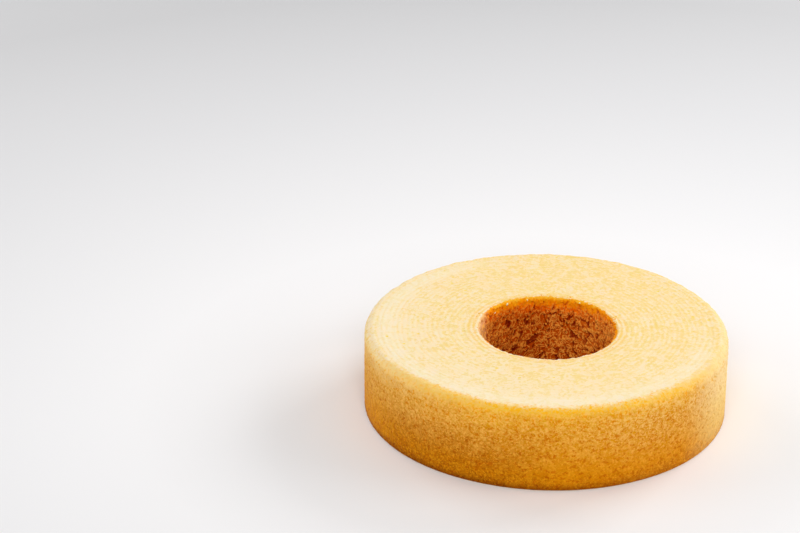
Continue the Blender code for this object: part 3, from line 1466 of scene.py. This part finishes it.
@dataclass(frozen=True)
class CrumbScatter:
    """Small crumbs that cling to a ring of layers, thickest on one side of the hole's lip."""

    name: str
    slot: str
    finish: CrumbFinish
    seed: int
    per_square_metre: float
    facing: Triple
    lip: Band
    smallest: float
    largest: float
    sunk_by: float
    thickens: Span = (0.1, 0.9)
    elsewhere: float = 0.1
    roundness: int = 2
    clump_size: float = 5 * MM
    clump_edge: Span = (0.45, 0.6)
    least_stretch: Triple = (0.6, 0.6, 0.6)
    most_stretch: Triple = (1.4, 1.2, 0.9)
    unevenness_size: float = 0.5 * MM

    def recipe(self) -> NodeRecipe:
        """Names the tree's inputs.

        Returns:
            The recipe, with this scatter's sizes.
        """
        inputs = {
            "Crumb Density": self.per_square_metre,
            "Smallest Crumb": self.smallest,
            "Largest Crumb": self.largest,
            "Unevenness Depth": 0.22 * MM,
            "Sunk By": self.sunk_by,
            "Seed": self.seed,
        }
        return NodeRecipe("crumb_scatter", inputs)

    def thickness(self, place: Place) -> Field:
        """How thickly the crumbs lie at a place.

        Args:
            place: Where it is read.

        Returns:
            The share of the full density, from 0 to 1.
        """
        lip = ZONES.past_lip(place).band(*self.lip)
        turned = place.towards(self.facing, HOLE_RADIUS)
        share = turned.between(*self.thickens) * (1 - self.elsewhere) + self.elsewhere
        clumps = Lumps(self.clump_size, 1.0, self.seed).at(place)
        return lip * share * clumps.between(*self.clump_edge)

    def tree(self, recipe: NodeRecipe) -> bpy.types.NodeTree:
        """Builds the tree.

        Args:
            recipe: Its named inputs.

        Returns:
            The tree.
        """
        graph, ring_mesh, size = recipe.new_tree()
        here = graph.place("GeometryNodeInputPosition", 0)
        density = self.thickness(here) * size["Crumb Density"]
        spread_values = {"Mesh": ring_mesh, "Density": density, "Seed": size["Seed"]}
        spread = graph.node("GeometryNodeDistributePointsOnFaces", None, spread_values)
        ball_values = {"Radius": 1.0, "Subdivisions": self.roundness}
        ball = graph.field("GeometryNodeMeshIcoSphere", 0, None, ball_values)

        def draw(kind: str, output: int, limits: dict[int, Triple | Field]) -> Field:
            """A random value for each crumb, between two limits."""
            values = limits | {"Seed": size["Seed"]}
            return graph.field("FunctionNodeRandomValue", output, {"data_type": kind}, values)

        turn = draw("FLOAT_VECTOR", 0, {0: (0.0, 0.0, 0.0), 1: (math.tau, math.tau, math.tau)})
        stretch = draw("FLOAT_VECTOR", 0, {0: self.least_stretch, 1: self.most_stretch})
        scale = draw("FLOAT", 1, {2: size["Smallest Crumb"], 3: size["Largest Crumb"]})
        into = graph.scaled(Field(graph, spread.outputs["Normal"]), size["Sunk By"] * -1.0)
        sunk_values = {"Geometry": Field(graph, spread.outputs["Points"]), "Offset": into}
        sunk = graph.field("GeometryNodeSetPosition", 0, None, sunk_values)
        values = {"Points": sunk, "Instance": ball}
        values |= {"Rotation": turn, "Scale": graph.scaled(stretch, scale)}
        placed = graph.field("GeometryNodeInstanceOnPoints", 0, None, values)
        real = graph.field("GeometryNodeRealizeInstances", 0, None, {0: placed})
        bent = here.warped(self.unevenness_size, size["Unevenness Depth"])
        bent_values = {"Geometry": real, "Position": bent}
        uneven = graph.field("GeometryNodeSetPosition", 0, None, bent_values)
        recipe.finish(uneven, self.finish.build())
        return graph.tree

    def build(self, ring: bpy.types.Object) -> bpy.types.Object:
        """Scatters the crumbs over a ring and ties them to the frame.

        Args:
            ring: The finished ring of layers.

        Returns:
            The crumbs as one object.
        """
        crumbs = new_object(self.name, ring.data.copy())
        recipe = self.recipe()
        recipe.apply(crumbs, self.tree(recipe))
        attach(crumbs, BODY)
        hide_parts(CAKE_NODE)
        LOG.info("%s: %d triangles", self.name, len(crumbs.data.polygons))
        return crumbs


@dataclass(frozen=True)
class Cake:
    """The whole ring cake, as three nested rings of layers, and the crumbs at its hole."""

    layers_by_hole: int = 3
    layers_by_side: int = 3
    pale_crumbs: CrumbScatter = CrumbScatter(
        name="pale_crumbs",
        slot="cut_crumb",
        finish=CrumbFinish("pale_crumb", srgb(255, 246, 200), srgb(255, 236, 170)),
        seed=3,
        per_square_metre=240_000.0,
        facing=(-0.80, 0.6, 0.0),
        lip=(-0.5 * MM, 1.0 * MM, 1.6 * MM, 3.6 * MM),
        smallest=0.45 * MM,
        largest=0.82 * MM,
        sunk_by=0.42 * MM,
        thickens=(0.6, 0.98),
        elsewhere=0.02,
    )
    skin_crumbs: CrumbScatter = CrumbScatter(
        name="skin_crumbs",
        slot="hole_skin",
        finish=CrumbFinish("skin_crumb", srgb(255, 196, 50), srgb(255, 164, 16)),
        seed=8,
        per_square_metre=900_000.0,
        facing=(0.45, 0.89, 0.0),
        lip=(-4.4 * MM, -2.9 * MM, -0.4 * MM, 1.6 * MM),
        smallest=0.2 * MM,
        largest=0.5 * MM,
        sunk_by=0.24 * MM,
    )

    def rings(self) -> tuple[RingOfLayers, RingOfLayers, RingOfLayers]:
        """The rings of layers.

        Returns:
            The inner, middle and outer ring.
        """
        inner_seam = HOLE_RADIUS + self.layers_by_hole * LAYER_THICKNESS
        outer_seam = OUTER_RADIUS - self.layers_by_side * LAYER_THICKNESS
        half_gap = SEAM_GAP / 2
        inner = RingOfLayers(
            name="inner_layers",
            slot="hole_skin",
            inner=HOLE_RADIUS,
            outer=inner_seam - half_gap,
            top_spacing=0.28 * MM,
            side_spacing=0.31 * MM,
            around_spacing=0.345 * MM,
            inner_face=Face.HOLE_WALL,
        )
        middle = RingOfLayers(
            name="middle_layers",
            slot="cut_crumb",
            inner=inner_seam + half_gap,
            outer=outer_seam - half_gap,
            top_spacing=0.27 * MM,
            side_spacing=1.0 * MM,
            around_spacing=0.76 * MM,
        )
        outer = RingOfLayers(
            name="outer_layers",
            slot="baked_side",
            inner=outer_seam + half_gap,
            outer=OUTER_RADIUS,
            top_spacing=0.45 * MM,
            side_spacing=0.46 * MM,
            around_spacing=0.51 * MM,
            outer_face=Face.BAKED_SIDE,
        )
        return inner, middle, outer

    def build(self) -> None:
        """Makes the rings and crumbs and dresses them."""
        inner, middle, outer = self.rings()
        wall = inner.build(SpongeMaterial("inner_sponge", Face.HOLE_WALL).build())
        self.pale_crumbs.build(wall)
        self.skin_crumbs.build(wall)
        middle.build(SpongeMaterial("middle_sponge").build())
        outer.build(SpongeMaterial("outer_sponge", Face.BAKED_SIDE).build())


@dataclass(frozen=True)
class PhotoCamera:
    """A camera at the photograph's place, worked out from the cake's edges in it."""

    frame_px: tuple[int, int] = (800, 533)
    focal_px: float = 2856.0
    distance: float = 1.176
    elevation_deg: float = 26.2
    roll_deg: float = 1.94
    top_middle: Triple = (0.0, 0.0, 0.0353)
    top_middle_px: Pair = (546.5, 326.8)
    sensor_mm: float = 36.0
    farthest: float = 20.0

    def build(self) -> bpy.types.Object:
        """Places the camera so that the top's middle shows at its pixel.

        Returns:
            The camera.
        """
        elevation = math.radians(self.elevation_deg)
        away = Vector((0.0, -math.cos(elevation), math.sin(elevation)))
        look = -away
        right = Vector(RIGHT)
        level = Matrix((right, look.cross(right), look))
        wide, high = self.frame_px
        across = (self.top_middle_px[0] - wide / 2) / self.focal_px
        down = (self.top_middle_px[1] - high / 2) / self.focal_px
        aim = Vector(UPWARDS).rotation_difference(Vector((across, down, 1.0)))
        roll = Matrix.Rotation(math.radians(self.roll_deg), 3, "Z")
        turned = aim.to_matrix() @ roll @ level
        lens = bpy.data.cameras.new("photo_camera")
        lens.sensor_width = self.sensor_mm
        lens.lens = self.focal_px / wide * self.sensor_mm
        lens.clip_end = self.farthest
        camera = new_object("photo_camera", lens)
        axes = Matrix((turned[0], -turned[1], -turned[2])).transposed()
        place = Vector(self.top_middle) + away * self.distance
        camera.matrix_world = Matrix.Translation(place) @ axes.to_4x4()
        bpy.context.scene.camera = camera
        return camera


@dataclass(frozen=True)
class SoftBox:
    """One soft white studio light."""

    name: str
    place: Triple
    size: float
    watts: float

    def build(self) -> None:
        """Hangs the light so that it faces the cake."""
        light = bpy.data.lights.new(self.name, "AREA")
        light.shape = "SQUARE"
        light.size = self.size
        light.energy = self.watts
        lamp = new_object(self.name, light)
        lamp.location = self.place
        aim = Vector((0.0, 0.0, TOP / 2)) - Vector(self.place)
        lamp.rotation_euler = aim.to_track_quat("-Z", "Y").to_euler()


@dataclass(frozen=True)
class Studio:
    """The plain pale floor and the soft light."""

    floor_half: float = 4.0
    floor_drop: float = 0.05 * MM
    floor_roughness: float = 0.7
    floor_light_falloff: Stops = (
        (0.17, (0.915, 0.905, 0.91, 1.0)),
        (0.34, (0.74, 0.735, 0.745, 1.0)),
        (0.50, (0.595, 0.592, 0.60, 1.0)),
        (1.00, (0.51, 0.51, 0.52, 1.0)),
    )
    room_light: float = 0.38
    lights: tuple[SoftBox, ...] = (
        SoftBox("key_box", (0.8, 0.8, 0.5), 0.6, 7.6),
        SoftBox("right_box", (1.1, 0.0, 0.6), 0.6, 3.6),
        SoftBox("left_box", (-1.1, 0.0, 0.6), 0.6, 2.1),
        SoftBox("back_left_box", (-0.8, 0.8, 0.5), 0.6, 3.5),
        SoftBox("front_box", (0.0, -1.2, 0.9), 0.7, 9.2),
    )

    def build(self) -> None:
        """Lays the floor, hangs the lights and sets the room's own light."""
        mesh = bpy.data.meshes.new("floor")
        half = self.floor_half
        corners = [(-half, -half), (half, -half), (half, half), (-half, half)]
        mesh.from_pydata([(x, y, -self.floor_drop) for x, y in corners], [], [(0, 1, 2, 3)])
        mesh.materials.append(make_material("pale_floor", self.dress_floor))
        floor = new_object("floor", mesh)
        for light in self.lights:
            light.build()
        world = bpy.data.worlds.new("room")
        world.use_nodes = True
        background = world.node_tree.nodes["Background"]
        background.inputs["Color"].default_value = WHITE
        background.inputs["Strength"].default_value = self.room_light
        bpy.context.scene.world = world
        bpy.context.scene.view_settings.view_transform = "Standard"
        LOG.info("studio: floor, %d lights, room light %.2f", len(self.lights), self.room_light)

    def dress_floor(self, graph: Graph) -> Field:
        """The floor's pale finish, with a painted falloff of the light that greys it far from the
        cake.

        Args:
            graph: The material's tree.

        Returns:
            The surface.
        """
        colour = graph.place("ShaderNodeTexCoord", "Object").radius().ramp(self.floor_light_falloff)
        values = {"Base Color": colour, "Roughness": self.floor_roughness}
        return graph.field("ShaderNodeBsdfPrincipled", 0, None, values)


def main() -> None:
    """Builds the camera, the cake and the studio in order."""
    logging.basicConfig(level=logging.INFO, format="%(name)s: %(message)s")
    PhotoCamera().build()
    LOG.info("camera placed")
    Cake().build()
    Studio().build()


if __name__ == "__main__":
    main()
